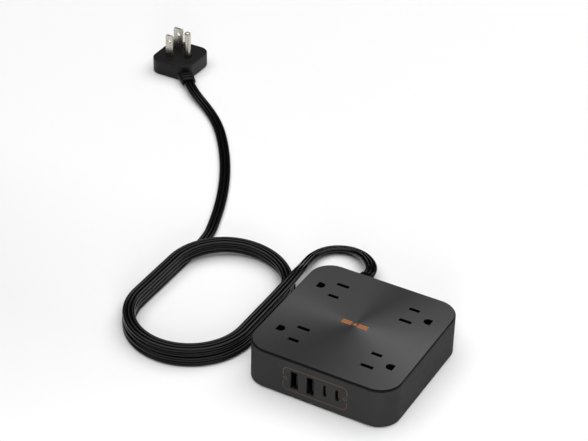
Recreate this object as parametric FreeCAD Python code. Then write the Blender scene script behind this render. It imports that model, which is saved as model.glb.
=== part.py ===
import FreeCAD, Part
import math
import os

from FreeCAD import Placement, Rotation, Vector

# Square desktop surge protector with a flat plug, modelled as an assembly.
#
# Units are millimetres. The origin is the centre of the body's footprint on the surface it stands on, +Z is
# up, the USB ports face -Y and the cord leaves the back wall, which faces +Y. The body holds four widely
# spaced outlets, two USB-A ports and two USB-C ports. Its flat three-core cord lies in a stacked oval coil
# beside it, and the plug lies on its face with its prongs up.

# Body
BODY_SIDE = 98.0
BODY_CORNER_R = 14.5
BODY_H = 28.1
WALL = 2.0
FLOOR = 2.0
FOOT_H = 0.5
BOTTOM_CHAMFER = 0.6
HALF = BODY_SIDE / 2
INSIDE = HALF - WALL
INSIDE_CORNER_R = BODY_CORNER_R - WALL
FLOOR_TOP_Z = FOOT_H + FLOOR

# Top cover and the shadow line below it
COVER_EDGE_H = 1.3
COVER_EDGE_R = 1.0
SEAM_GAP = 0.35
SEAM_DEPTH = 1.0
COVER_UNDER_Z = BODY_H - COVER_EDGE_H
COVER_PLATE_Z = BODY_H - 2.5
SKIRT_CLEARANCE = 0.2
SKIRT_T = 1.2
SKIRT_BOTTOM_Z = 23.4

# Outlets: two blade slots and an earth hole each
OUTLET_X = 24.4
OUTLET_Y = 25.1
BLADE_SPACING = 12.7
GROUND_OFFSET = 12.0
SLOT_W = 2.5
NEUTRAL_SLOT_L = 8.2
LINE_SLOT_L = 6.9
SLOT_CORNER_R = 0.35
GROUND_HOLE_R = 2.7
GROUND_HOLE_FLAT = 2.35
BOSS_BOTTOM_Z = 19.6
BLOCK_X = 29.7
BLOCK_W = 23.0
BLOCK_D = 21.0
BLOCK_CORNER_R = 0.8
BLOCK_LEG = 2.0
BLOCK_TUNNEL_Z = 9.6
BLADE_WELL = (9.6, 5.2)
GROUND_WELL = (6.4, 7.6)

# Sign let into the top
MARK_Y = 0.4
MARK_PITCH = 1.3
MARK_BAR_L = 6.6
MARK_BAR_W = 0.8
MARK_BAR_X = 5.4
MARK_BAR_CORNER_R = 0.35
MARK_DEPTH = 0.4
MARK_BOLT = [(1.4, 1.9), (-1.5, -0.3), (-0.3, -0.3), (-1.1, -1.9), (1.6, 0.4), (0.4, 0.4)]

# Brass bars and their spring contacts
BRASS_T = 0.8
LEAF_T = 0.6
BAR_W = 2.0
HIGH_BAR_Z = 8.0
LOW_BAR_Z = 5.6
CLIP_PINCH_Z = 15.5
CLIP_TOP_Z = 18.6
BLADE_GAPS = (1.3, 0.6, 1.5)
GROUND_GAPS = (2.7, 2.1, 2.8)
NEUTRAL_CLIP_X = (-26.2, -20.5)
LINE_CLIP_X = (-28.6, -23.2)
GROUND_CLIP_X = (-38.6, -34.6)
LINE_CROSS_Y = -5.0
GROUND_CROSS_Y = 5.0

# Ports on the front wall
PORT_Z = 13.6
WINDOW = (42.6, 16.6, 3.2)
PANEL_BACK = 3.0
PANEL_FLANGE = 1.0
TRIM_W = 0.5
TRIM_DEPTH = 0.5
TRIM_BREAK = 4.4
USB_A_X = (-13.7, -3.0)
USB_C_X = (6.5, 14.6)
USB_A_SHELL = (5.8, 13.1, 14.0)
USB_C_SHELL = (3.2, 8.9, 8.0)
USB_C_SHELL_Z = 14.2
SHEET_T = 0.35
PORT_LIP = 1.2
USB_A_CORNER_R = 0.6
ROUND_END_FLAT = 0.05
RING_INSET = 1.5
RING_R = (1.25, 0.75)
FRONT_Y = -HALF

# Ports' tongues: sides and height, how far back each starts, and the block at its root
USB_A_TONGUE = (0.2, 2.0, 10.2)
USB_C_TONGUE = (-0.35, 0.35, 6.6)
USB_A_TONGUE_START = 1.2
USB_C_TONGUE_START = 0.9
TONGUE_END = 1.5
TONGUE_ROOT_L = 2.0
USB_A_ROOT = (4.5, 11.1)
USB_C_ROOT = (2.0, 6.0)
STAND_MARGIN = 2.0
STAND_TOP_Z = 12.7

# Circuit boards
BOARD_T = 1.4
BOARD_HALF_W = 17.5
USB_BOARD_TOP_Z = PORT_Z - USB_A_SHELL[1] / 2
USB_BOARD_REAR_Y = -15.0
SURGE_BOARD_TOP_Z = 6.4
SURGE_BOARD_Y = (9.0, 45.0)
POST_W = 4.0
POST_X = 14.0
USB_POST_Y = (-40.0, -19.0)
SURGE_POST_Y = (14.0, 42.0)

# Components: the plain blocks are x, y, width, depth and height
TRANSFORMER = (7.5, -24.0)
CORE_SIZE = (15.0, 13.0, 12.0)
CORE_LIMB = 2.0
WINDING_SIZE = (9.0, 11.0, 8.0)
USB_CAPACITOR = (-11.0, -23.0, 4.0, 13.0)
USB_CONTROLLER = (-2.5, -22.0, 5.0, 5.0, 1.0)
VARISTOR_Y = 26.0
VARISTOR_R = 4.6
VARISTOR_T = 3.2
VARISTOR_LIFT = 1.0
VARISTOR_LEG = (5.0, 1.0, 2.2)
VARISTORS = {"line_neutral": -9.5, "line_ground": 0.0, "neutral_ground": 9.5}
SURGE_BLOCKS = {
    "thermal_fuse": (9.0, 38.0, 12.0, 4.0, 4.0),
    "filter_capacitor": (0.0, 18.5, 22.0, 6.5, 11.0),
    "wire_terminal": (-8.0, 39.4, 8.0, 9.2, 6.5),
}

# Wires: radii, where each core turns off, and where each link starts
CORE_R = 1.1
LINK_R = 0.9
SUPPLY_R = 0.7
CORE_PITCH = 2.5
CORE_TURN_Y = {"neutral": 42.2, "ground": 39.4, "line": 36.9}
CORE_END_X = -12.0
WIRE_TOP_Z = SURGE_BOARD_TOP_Z + 5.0
LINK_START_Y = 12.0
LINK_X = 12.0
SUPPLY_X = 5.0
SUPPLY_END_Y = -16.2

# Fasteners and feet
SCREW_XY = 40.0
SCREW_R = 1.45
SCREW_HEAD_R = 2.6
SCREW_SEAT_Z = 3.4
SCREW_JOIN_Z = 11.0
SCREW_TIP_Z = 20.0
SCREW_HEAD_H = 1.8
SCREW_RECESS = (2.8, 0.7)
SCREW_RECESS_DEPTH = 1.0
SCREW_BOSS_R = 4.2
SCREW_CLEARANCE_R = 1.7
COUNTERBORE_R = 2.9
COVER_BOSS_R = 3.5
FOOT_XY = 32.5
FOOT_R = 4.5
FOOT_POCKET = 0.8
FOOT_EDGE_R = 0.3

# Flat cord and its coil
CORD_W = 7.8
CORD_T = 3.05
COIL_LAYERS = 4
COIL_LEFT_X = -142.25
COIL_RIGHT_X = -66.0
COIL_FRONT_Y = -55.8
COIL_REAR_Y = 62.9
COIL_LEAN_RIGHT = 0.7
COIL_LEAN_FRONT = 0.45
COIL_LEAN_REAR = 0.6
COIL_STEP_X = (-122.0, -76.0)
COIL_STUB_Y = 50.0
COIL_TOP_Z = COIL_LAYERS * CORD_T
TOP_LAYER_Z = COIL_TOP_Z - CORD_T / 2
FLOOR_CORD_Z = CORD_T / 2

# Where the cord leaves the back wall
EXIT_X = -27.5
EXIT_Z = 9.5
RELIEF_END_Y = 72.0
RELIEF_ROOT = (15.0, 9.0)
RELIEF_NECK = (12.0, 6.4)
RELIEF_TIP = (9.4, 4.6)
RELIEF_FLANGE = (14.5, 9.0, 3.0)
RELIEF_FLANGE_T = 1.5
RELIEF_NECK_R = 2.0
RELIEF_GROOVES = (54.5, 58.5, 62.5, 66.5)
RELIEF_GROOVE_HALF = 0.6
RELIEF_WEB = 0.8
RELIEF_WEB_R = 1.5

# Flat plug, lying on its face
PLUG_X = -279.0
PLUG_Y = 251.0
PLUG_W = 33.0
PLUG_D = 35.0
PLUG_T = 12.0
PLUG_CAP_T = 1.8
PLUG_CORNER_R = 8.0
PLUG_EDGE_R = 1.6
PLUG_CORD_DEG = -45.0
PLUG_CORD_Z = 4.4
STUB_L = 10.0
STUB_ROOT = (13.0, 7.6)
STUB_TIP = (10.4, 5.2)
STUB_GROOVES = (6.5, 3.2)
STUB_GROOVE_HALF = 0.5
STUB_WEB = 1.2
STUB_WEB_R = 1.8
PLUG_CAP_CHAMFER = 0.6
PANEL_MARGIN = (6.0, 10.0)
PANEL_R = 3.0
PANEL_DEPTH = 0.4
BLADE_MID_X = -5.2
PIN_OFFSET = 11.9
BLADE_L = 17.0
BLADE_T = 1.5
BLADE_ROOT = 3.0
BLADE_TIP_R = 1.2
BLADE_HOLE_R = 1.5
BLADE_HOLE_DROP = 5.0
LINE_BLADE_W = 6.35
NEUTRAL_BLADE_W = 7.9
GROUND_PIN_R = 2.38
GROUND_PIN_L = 20.0
PIN_ROOT_R = 3.0
PIN_ROOT_DEPTH = 1.2
PIN_CONE_H = 0.6
PIN_TIP_R = 1.8

# Routes of the cord where it isn't coiled, as the corners of their straight runs
ROUND_CORNER = PLUG_CORNER_R + STUB_L
CORD_HEADING = math.radians(PLUG_CORD_DEG)
STUB_END = (
    PLUG_X + PLUG_W / 2 - PLUG_CORNER_R + ROUND_CORNER * math.cos(CORD_HEADING),
    PLUG_Y - PLUG_D / 2 + PLUG_CORNER_R + ROUND_CORNER * math.sin(CORD_HEADING),
)
PLUG_RUN = 13.0
BOX_LEAD = [
    (EXIT_X, RELIEF_END_Y, EXIT_Z),
    (EXIT_X, RELIEF_END_Y + 6.0, EXIT_Z),
    (-33.6, 88.0, 7.5),
    (-43.4, 97.2, 4.6),
    (-55.3, 100.2, 2.5),
    (-66.3, 94.9, 1.9),
    (-72.0, 82.5, 3.2),
    (-69.2, 64.5, 8.6),
    (COIL_RIGHT_X, COIL_STUB_Y + 7.0, TOP_LAYER_Z),
    (COIL_RIGHT_X, COIL_STUB_Y, TOP_LAYER_Z),
]
WALL_LEAD = [
    (COIL_LEFT_X, COIL_STUB_Y, FLOOR_CORD_Z),
    (COIL_LEFT_X, 65.5, FLOOR_CORD_Z),
    (-148.2, 84.0, FLOOR_CORD_Z),
    (-156.0, 104.9, FLOOR_CORD_Z),
    (-167.0, 128.5, FLOOR_CORD_Z),
    (-179.5, 150.5, FLOOR_CORD_Z),
    (-194.5, 172.5, FLOOR_CORD_Z),
    (-210.5, 192.0, FLOOR_CORD_Z),
    (-227.5, 206.5, 2.0),
    (
        STUB_END[0] + PLUG_RUN * math.cos(CORD_HEADING),
        STUB_END[1] + PLUG_RUN * math.sin(CORD_HEADING),
        PLUG_CORD_Z,
    ),
    (STUB_END[0], STUB_END[1], PLUG_CORD_Z),
]
ARC_SHARE = 0.45

ORIGIN = Vector(0, 0, 0)
Z_AXIS = Vector(0, 0, 1)
SIDES = (-1, 1)

parts = {}


# ---------------------------------------------------------------- basic shapes


def box(x0, x1, y0, y1, z0, z1):
    """A block between two corners."""
    return Part.makeBox(x1 - x0, y1 - y0, z1 - z0, Vector(x0, y0, z0))


def centred_box(x, y, w, d, z0, z1):
    """A block centred on a point in plan."""
    return box(x - w / 2, x + w / 2, y - d / 2, y + d / 2, z0, z1)


def cylinder(x, y, z0, z1, r):
    """An upright cylinder."""
    return Part.makeCylinder(r, z1 - z0, Vector(x, y, z0), Z_AXIS)


def rounded_wire(w, d, r):
    """A rounded rectangle about the origin in the XY plane."""
    a, b = w / 2 - r, d / 2 - r
    corners = [(a, b, 0), (-a, b, 90), (-a, -b, 180), (a, -b, 270)]
    arcs = [Part.makeCircle(r, Vector(x, y, 0), Z_AXIS, start, start + 90) for x, y, start in corners]
    edges = []
    for arc, following in zip(arcs, arcs[1:] + arcs[:1]):
        edges.append(arc)
        end = arc.valueAt(arc.LastParameter)
        start = following.valueAt(following.FirstParameter)
        if (start - end).Length > 1e-6:
            edges.append(Part.makeLine(end, start))
    return Part.Wire(edges)


def rounded_prism(x, y, w, d, r, z0, z1):
    """An upright rounded rectangular prism."""
    solid = Part.Face(rounded_wire(w, d, r)).extrude(Vector(0, 0, z1 - z0))
    solid.translate(Vector(x, y, z0))
    return solid


def front_prism(x, z, w, h, r, y0, y1):
    """A rounded rectangular prism along Y, w wide in X and h high in Z."""
    solid = Part.Face(rounded_wire(w, h, r)).extrude(Vector(0, 0, y1 - y0))
    solid.rotate(ORIGIN, Vector(1, 0, 0), 90)
    solid.translate(Vector(x, y1, z))
    return solid


def fuse(solids):
    """One solid from several that touch or overlap."""
    return solids[0].multiFuse(solids[1:]).removeSplitter()


def cut_all(shape, tools):
    """The shape without any of the tools."""
    for tool in tools:
        shape = shape.cut(tool)
    return shape


def half_turn(shape):
    """A copy turned half a turn about the vertical through the origin."""
    copy = shape.copy()
    copy.rotate(ORIGIN, Z_AXIS, 180)
    return copy


def group(solids):
    """Separate solids that share one node."""
    return Part.makeCompound(solids)


# ---------------------------------------------------------------- cords and wires


def route_wire(points):
    """Straight runs joined by tangent arcs, and the radius of each arc."""
    corners = [Vector(*p) for p in points]
    edges, radii = [], []
    start = corners[0]
    for before, corner, after in zip(corners, corners[1:], corners[2:]):
        back = (before - corner).normalize()
        ahead = (after - corner).normalize()
        half = (math.pi - back.getAngle(ahead)) / 2
        cut = ARC_SHARE * min((before - corner).Length, (after - corner).Length)
        radius = cut / math.tan(half)
        inward = (back + ahead).normalize()
        first, last = corner + back * cut, corner + ahead * cut
        middle = corner + inward * (radius / math.cos(half) - radius)
        edges.append(Part.LineSegment(start, first).toShape())
        edges.append(Part.Arc(first, middle, last).toShape())
        radii.append(radius)
        start = last
    edges.append(Part.LineSegment(start, corners[-1]).toShape())
    return Part.Wire(edges), radii


def sweep(path, section, level):
    """A solid swept along a path, kept level across its width if asked."""
    pipe = Part.BRepOffsetAPI.MakePipeShell(path)
    if level:
        pipe.setBiNormalMode(Z_AXIS)
    else:
        pipe.setFrenetMode(True)
    pipe.add(section, False, False)
    pipe.build()
    pipe.makeSolid()
    return pipe.shape()


def flat_section(points):
    """The flat cord's outline, a stadium, across the start of a route."""
    r = CORD_T / 2
    a = CORD_W / 2 - r
    top = Part.LineSegment(Vector(a, 0, r), Vector(-a, 0, r)).toShape()
    left = Part.Arc(Vector(-a, 0, r), Vector(-a - r, 0, 0), Vector(-a, 0, -r)).toShape()
    bottom = Part.LineSegment(Vector(-a, 0, -r), Vector(a, 0, -r)).toShape()
    right = Part.Arc(Vector(a, 0, -r), Vector(a + r, 0, 0), Vector(a, 0, r)).toShape()
    section = Part.Wire([top, left, bottom, right])
    start = Vector(*points[0])
    heading = Vector(*points[1]) - start
    turn = math.degrees(math.atan2(heading.y, heading.x)) - 90
    section.Placement = Placement(start, Rotation(Z_AXIS, turn))
    return section


def flat_cord(name, points):
    """A stretch of the flat cord. Prints its radii and compares its volume with section times length."""
    path, radii = route_wire(points)
    section = flat_section(points)
    solid = sweep(path, section, True)
    expected = Part.Face(section).Area * path.Length
    print(name, "length", round(path.Length, 1), "radii", [round(r, 1) for r in radii])
    print(name, "volume over section times length", round(solid.Volume / expected, 4), solid.isValid())
    return solid


def round_wire(points, r):
    """An insulated round wire along a route."""
    path, _ = route_wire(points)
    start = Vector(*points[0])
    heading = Vector(*points[1]) - start
    section = Part.Wire(Part.makeCircle(r, start, heading))
    return sweep(path, section, False)


def turn_ring(layer):
    """One turn, counted from the top, as an oval ring. Lower turns are longer and reach further right."""
    end_r = (COIL_RIGHT_X + COIL_LEAN_RIGHT * layer - COIL_LEFT_X) / 2
    x = COIL_LEFT_X + end_r
    front_y = COIL_FRONT_Y - COIL_LEAN_FRONT * layer + end_r
    rear_y = COIL_REAR_Y + COIL_LEAN_REAR * layer - end_r
    z1 = COIL_TOP_Z - layer * CORD_T
    z0 = z1 - CORD_T
    solids = []
    for reach in (end_r + CORD_W / 2, end_r - CORD_W / 2):
        middle = box(x - reach, x + reach, front_y, rear_y, z0, z1)
        front = cylinder(x, front_y, z0, z1, reach)
        rear = cylinder(x, rear_y, z0, z1, reach)
        solids.append(fuse([middle, front, rear]))
    return solids[0].cut(solids[1])


def make_coil():
    """Four turns on the sides and front, and three on the rear, where each turn steps down to the next."""
    far = 2 * (COIL_RIGHT_X - COIL_LEFT_X)
    step_x0, step_x1 = COIL_STEP_X
    x0, x1 = COIL_LEFT_X - far, COIL_RIGHT_X + far
    low, high = COIL_TOP_Z - CORD_T, COIL_TOP_Z
    above = [(step_x0, high), (step_x1, low), (x1, low), (x1, high + far), (x0, high + far), (x0, high)]
    below = [(x0, CORD_T), (step_x0, CORD_T), (step_x1, 0), (step_x1, -far), (x0, -far)]
    arc_y = COIL_REAR_Y - (COIL_RIGHT_X - COIL_LEFT_X) / 2
    cutters = []
    for outline in (above, below):
        loop = [Vector(x, arc_y, z) for x, z in outline]
        face = Part.Face(Part.makePolygon(loop + loop[:1]))
        cutters.append(face.extrude(Vector(0, far, 0)))
    ring = cut_all(fuse([turn_ring(layer) for layer in range(COIL_LAYERS)]), cutters)
    half = CORD_W / 2
    incoming = box(COIL_RIGHT_X - half, COIL_RIGHT_X + half, arc_y, COIL_STUB_Y, low, high)
    outgoing = box(COIL_LEFT_X - half, COIL_LEFT_X + half, arc_y, COIL_STUB_Y, 0, CORD_T)
    return fuse([ring, incoming, outgoing])


# ---------------------------------------------------------------- outlets

OUTLETS = {
    "rear_left": (-1, 1),
    "front_left": (-1, -1),
    "rear_right": (1, 1),
    "front_right": (1, -1),
}


def outlet_openings(side, row, z0, z1):
    """The two blade slots and the U-shaped earth hole of one outlet. The long slot is the neutral one."""
    x, y = side * OUTLET_X, row * OUTLET_Y
    step = side * BLADE_SPACING / 2
    neutral = rounded_prism(x, y - step, NEUTRAL_SLOT_L, SLOT_W, SLOT_CORNER_R, z0, z1)
    line = rounded_prism(x, y + step, LINE_SLOT_L, SLOT_W, SLOT_CORNER_R, z0, z1)
    ground_x = x + side * GROUND_OFFSET
    middle_x = ground_x + side * GROUND_HOLE_FLAT / 2
    flat = centred_box(middle_x, y, GROUND_HOLE_FLAT, 2 * GROUND_HOLE_R, z0, z1)
    beyond_x = ground_x + side * (GROUND_HOLE_FLAT + GROUND_HOLE_R / 2)
    beyond = centred_box(beyond_x, y, GROUND_HOLE_R, 2 * GROUND_HOLE_R, z0, z1)
    ground = fuse([cylinder(ground_x, y, z0, z1, GROUND_HOLE_R), flat]).cut(beyond)
    return [neutral, line, ground]


def make_outlet_block(side, row):
    """The insulating block that holds one outlet's contacts, on four corner legs."""
    x, y = side * BLOCK_X, row * OUTLET_Y
    block = rounded_prism(x, y, BLOCK_W, BLOCK_D, BLOCK_CORNER_R, FLOOR_TOP_Z, BOSS_BOTTOM_Z)
    along = centred_box(x, y, BLOCK_W - 2 * BLOCK_LEG, 2 * BLOCK_D, 0, BLOCK_TUNNEL_Z)
    across = centred_box(x, y, 2 * BLOCK_W, BLOCK_D - 2 * BLOCK_LEG, 0, BLOCK_TUNNEL_Z)
    top = BODY_H
    wells = [
        centred_box(side * OUTLET_X, y + k * BLADE_SPACING / 2, *BLADE_WELL, LOW_BAR_Z, top) for k in SIDES
    ]
    wells.append(centred_box(side * (OUTLET_X + GROUND_OFFSET), y, *GROUND_WELL, LOW_BAR_Z, top))
    return cut_all(block, [along, across, *wells])


def clip(span, y, gaps, floor_z):
    """A spring contact, open at the top, on a brass floor. The gaps are half widths at root, pinch and lip."""
    x0, x1 = span
    heights = (floor_z, CLIP_PINCH_Z, CLIP_TOP_Z)
    solids = [box(x0, x1, y - gaps[0] - LEAF_T, y + gaps[0] + LEAF_T, floor_z, floor_z + BRASS_T)]
    for k in SIDES:
        inner = [Vector(x0, y + k * gap, z) for gap, z in zip(gaps, heights)]
        outer = [point + Vector(0, k * LEAF_T, 0) for point in reversed(inner)]
        leaf = Part.Face(Part.makePolygon(inner + outer + inner[:1]))
        solids.append(leaf.extrude(Vector(x1 - x0, 0, 0)))
    return solids


def bar_along(x, y0, y1, z):
    """A flat brass bar along Y, centred on x."""
    return box(x - BAR_W / 2, x + BAR_W / 2, y0, y1, z, z + BRASS_T)


def bar_across(x, y, z):
    """A flat brass bar along X from one side's bar to the other's."""
    return box(-x, x, y - BAR_W / 2, y + BAR_W / 2, z, z + BRASS_T)


def both_sides(left, middle):
    """A bus bar: its left part, the same part turned half a turn for the right, and what joins them."""
    left_bar = fuse(left)
    return fuse([left_bar, half_turn(left_bar), *middle])


def make_neutral_bar():
    """Neutral: inner bars with a cross bar between them, all on the high level."""
    step = BLADE_SPACING / 2
    x = NEUTRAL_CLIP_X[1] - BAR_W / 2
    left = [bar_along(x, -OUTLET_Y + step, OUTLET_Y + step, HIGH_BAR_Z)]
    for row in SIDES:
        left += clip(NEUTRAL_CLIP_X, row * OUTLET_Y + step, BLADE_GAPS, HIGH_BAR_Z)
    return both_sides(left, [bar_across(-x, 0, HIGH_BAR_Z)])


def make_line_bar():
    """Line: outer bars on the high level, joined by a cross bar that dips under the neutral bars."""
    step = BLADE_SPACING / 2
    x = LINE_CLIP_X[0] + BAR_W / 2
    left = [bar_along(x, -OUTLET_Y - step, OUTLET_Y - step, HIGH_BAR_Z)]
    for row in SIDES:
        left += clip(LINE_CLIP_X, row * OUTLET_Y - step, BLADE_GAPS, HIGH_BAR_Z)
    risers = [
        centred_box(side * x, LINE_CROSS_Y, BAR_W, BAR_W, LOW_BAR_Z, HIGH_BAR_Z + BRASS_T) for side in SIDES
    ]
    return both_sides(left, [bar_across(-x, LINE_CROSS_Y, LOW_BAR_Z), *risers])


def make_ground_bar():
    """Ground: outermost bars and a cross bar, all on the low level so that a long earth pin has room."""
    x = sum(GROUND_CLIP_X) / 2
    left = [bar_along(x, -OUTLET_Y, OUTLET_Y, LOW_BAR_Z)]
    for row in SIDES:
        left += clip(GROUND_CLIP_X, row * OUTLET_Y, GROUND_GAPS, LOW_BAR_Z)
    return both_sides(left, [bar_across(-x, GROUND_CROSS_Y, LOW_BAR_Z)])


def contact_ribs():
    """Ribs on the base's floor that carry the contacts from below."""
    ribs = []
    step = BLADE_SPACING / 2
    for row in SIDES:
        for span, y, top in (
            (NEUTRAL_CLIP_X, row * OUTLET_Y + step, HIGH_BAR_Z),
            (LINE_CLIP_X, row * OUTLET_Y - step, HIGH_BAR_Z),
            (GROUND_CLIP_X, row * OUTLET_Y, LOW_BAR_Z),
        ):
            rib = box(span[0] + 1, span[1] - 1, y - 1, y + 1, FLOOR_TOP_Z, top)
            ribs += [rib, half_turn(rib)]
    return ribs


# ---------------------------------------------------------------- body


def corner_places(distance):
    """The four places at one distance from the middle along both X and Y."""
    return [(sx * distance, sy * distance) for sx in SIDES for sy in SIDES]


def board_posts():
    """Four posts under each circuit board."""
    posts = []
    for rows, board_z in ((USB_POST_Y, USB_BOARD_TOP_Z), (SURGE_POST_Y, SURGE_BOARD_TOP_Z)):
        for y in rows:
            posts += [centred_box(k * POST_X, y, POST_W, POST_W, FLOOR_TOP_Z, board_z - BOARD_T) for k in SIDES]
    return posts


def make_base_shell():
    """Square tray with rounded corners, a front window, a cord hole, bosses, posts and foot pockets."""
    outer = rounded_prism(0, 0, BODY_SIDE, BODY_SIDE, BODY_CORNER_R, FOOT_H, COVER_UNDER_Z)
    lower_edges = [e for e in outer.Edges if e.BoundBox.ZMax < FOOT_H + 0.01]
    outer = outer.makeChamfer(BOTTOM_CHAMFER, lower_edges)
    room = rounded_prism(0, 0, 2 * INSIDE, 2 * INSIDE, INSIDE_CORNER_R, FLOOR_TOP_Z, BODY_H)
    rebate_side = BODY_SIDE - 2 * SEAM_DEPTH
    rebate_r = BODY_CORNER_R - SEAM_DEPTH
    rebate_z = COVER_UNDER_Z - SEAM_GAP
    keep = rounded_prism(0, 0, rebate_side, rebate_side, rebate_r, rebate_z, COVER_UNDER_Z)
    rebate = centred_box(0, 0, BODY_SIDE, BODY_SIDE, rebate_z, COVER_UNDER_Z).cut(keep)
    window = front_prism(0, PORT_Z, *WINDOW, FRONT_Y - 1, FRONT_Y + WALL + 1)
    cord_hole = front_prism(EXIT_X, EXIT_Z, *RELIEF_NECK, RELIEF_NECK_R, INSIDE - 1, HALF + 1)
    shell = cut_all(outer, [room, rebate, window, cord_hole])

    bosses = [cylinder(x, y, FLOOR_TOP_Z, SCREW_JOIN_Z, SCREW_BOSS_R) for x, y in corner_places(SCREW_XY)]
    shell = fuse([shell, *bosses, *board_posts(), *contact_ribs()])

    tools = []
    for x, y in corner_places(SCREW_XY):
        tools.append(cylinder(x, y, 0, SCREW_SEAT_Z, COUNTERBORE_R))
        tools.append(cylinder(x, y, 0, SCREW_JOIN_Z, SCREW_CLEARANCE_R))
    for x, y in corner_places(FOOT_XY):
        tools.append(cylinder(x, y, 0, FOOT_H + FOOT_POCKET, FOOT_R))
    return cut_all(shell, tools)


def mark_outline():
    """The sign in the middle of the top: a bolt between two groups of three bars, as faces in XY."""
    loop = [Vector(x, y, 0) for x, y in MARK_BOLT]
    faces = [Part.Face(Part.makePolygon(loop + loop[:1]))]
    for side in SIDES:
        for y in (-MARK_PITCH, 0, MARK_PITCH):
            bar = Part.Face(rounded_wire(MARK_BAR_L, MARK_BAR_W, MARK_BAR_CORNER_R))
            bar.translate(Vector(side * MARK_BAR_X, y, 0))
            faces.append(bar)
    return faces


def make_top_cover():
    """Flat cover with a rounded edge, a skirt inside the walls, outlet bosses and screw bosses."""
    edge = rounded_prism(0, 0, BODY_SIDE, BODY_SIDE, BODY_CORNER_R, COVER_UNDER_Z, BODY_H)
    upper_edges = [e for e in edge.Edges if e.BoundBox.ZMin > BODY_H - 0.01]
    edge = edge.makeFillet(COVER_EDGE_R, upper_edges)
    side = 2 * (INSIDE - SKIRT_CLEARANCE)
    corner = INSIDE_CORNER_R - SKIRT_CLEARANCE
    plug = rounded_prism(0, 0, side, side, corner, SKIRT_BOTTOM_Z, COVER_UNDER_Z)
    hollow = rounded_prism(
        0, 0, side - 2 * SKIRT_T, side - 2 * SKIRT_T, corner - SKIRT_T, SKIRT_BOTTOM_Z, COVER_PLATE_Z
    )
    solids = [edge, plug.cut(hollow)]
    for side_x, row in OUTLETS.values():
        x, y = side_x * BLOCK_X, row * OUTLET_Y
        solids.append(rounded_prism(x, y, BLOCK_W, BLOCK_D, BLOCK_CORNER_R, BOSS_BOTTOM_Z, COVER_PLATE_Z))
    solids += [cylinder(x, y, SCREW_JOIN_Z, COVER_PLATE_Z, COVER_BOSS_R) for x, y in corner_places(SCREW_XY)]
    cover = fuse(solids)
    tools = []
    for side_x, row in OUTLETS.values():
        tools += outlet_openings(side_x, row, BOSS_BOTTOM_Z - 1, BODY_H + 1)
    tools += [cylinder(x, y, SCREW_JOIN_Z, SCREW_TIP_Z + 1, SCREW_R) for x, y in corner_places(SCREW_XY)]
    tools += make_cover_mark().Solids
    return cut_all(cover, tools)


def make_cover_mark():
    """The sign let into the top, flush with it."""
    solids = []
    for face in mark_outline():
        solid = face.extrude(Vector(0, 0, MARK_DEPTH))
        solid.translate(Vector(0, MARK_Y, BODY_H - MARK_DEPTH))
        solids.append(solid)
    return group(solids)


def make_screws():
    """Four screws that draw the cover down onto the base, driven from below."""
    head_z = SCREW_SEAT_Z - SCREW_HEAD_H
    recess_z = head_z + SCREW_RECESS_DEPTH
    screws = []
    for x, y in corner_places(SCREW_XY):
        head = cylinder(x, y, head_z, SCREW_SEAT_Z, SCREW_HEAD_R)
        shank = cylinder(x, y, recess_z, SCREW_TIP_Z, SCREW_R)
        recess = [centred_box(x, y, *size, 0, recess_z) for size in (SCREW_RECESS, SCREW_RECESS[::-1])]
        screws.append(cut_all(fuse([head, shank]), recess))
    return group(screws)


def make_feet():
    """Four round rubber feet let into the base."""
    feet = []
    for x, y in corner_places(FOOT_XY):
        foot = cylinder(x, y, 0, FOOT_H + FOOT_POCKET, FOOT_R)
        rim = [e for e in foot.Edges if e.BoundBox.ZMax < 0.01]
        feet.append(foot.makeFillet(FOOT_EDGE_R, rim))
    return group(feet)


# ---------------------------------------------------------------- ports


def port_pocket(x, z, size, y1):
    """The space that one port's metal shell fills, from behind the panel's lip."""
    w, h, _ = size
    return front_prism(x, z, w, h, port_corner(size), FRONT_Y + PORT_LIP, y1)


def port_corner(size, inset=0.0):
    """Corner radius of a port's shell: USB-C shells have full round ends, USB-A shells small corners."""
    full_round = size == USB_C_SHELL
    return size[0] / 2 - inset - ROUND_END_FLAT if full_round else USB_A_CORNER_R - inset / 2


def all_ports():
    """Position and shell size of every port."""
    return [(x, PORT_Z, USB_A_SHELL) for x in USB_A_X] + [(x, USB_C_SHELL_Z, USB_C_SHELL) for x in USB_C_X]


def make_port_panel():
    """The panel in the front window, with the ports' mouths and a groove for the trim."""
    back = FRONT_Y + PANEL_BACK
    w, h, r = WINDOW
    plate = front_prism(0, PORT_Z, w, h, r, FRONT_Y, back)
    flange = front_prism(
        0, PORT_Z, w + 2 * PANEL_FLANGE, h + 2 * PANEL_FLANGE, r + PANEL_FLANGE, FRONT_Y + WALL, back
    )
    tools = list(make_port_trim().Solids)
    for x, z, size in all_ports():
        w, h = size[0] - 2 * SHEET_T, size[1] - 2 * SHEET_T
        tools.append(front_prism(x, z, w, h, port_corner(size, SHEET_T), FRONT_Y - 1, back + 1))
        tools.append(port_pocket(x, z, size, back + 1))
    tools += make_port_marks().Solids
    return cut_all(fuse([plate, flange]), tools)


def make_port_trim():
    """The thin copper outline of the panel, broken in the middle of both ends."""
    w, h, r = WINDOW
    outer = front_prism(0, PORT_Z, w, h, r, FRONT_Y, FRONT_Y + TRIM_DEPTH)
    inner = front_prism(
        0, PORT_Z, w - 2 * TRIM_W, h - 2 * TRIM_W, r - TRIM_W, FRONT_Y - 1, FRONT_Y + TRIM_DEPTH + 1
    )
    gap = box(-w, w, FRONT_Y - 1, FRONT_Y + 1, PORT_Z - TRIM_BREAK / 2, PORT_Z + TRIM_BREAK / 2)
    return outer.cut(inner).cut(gap)


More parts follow.
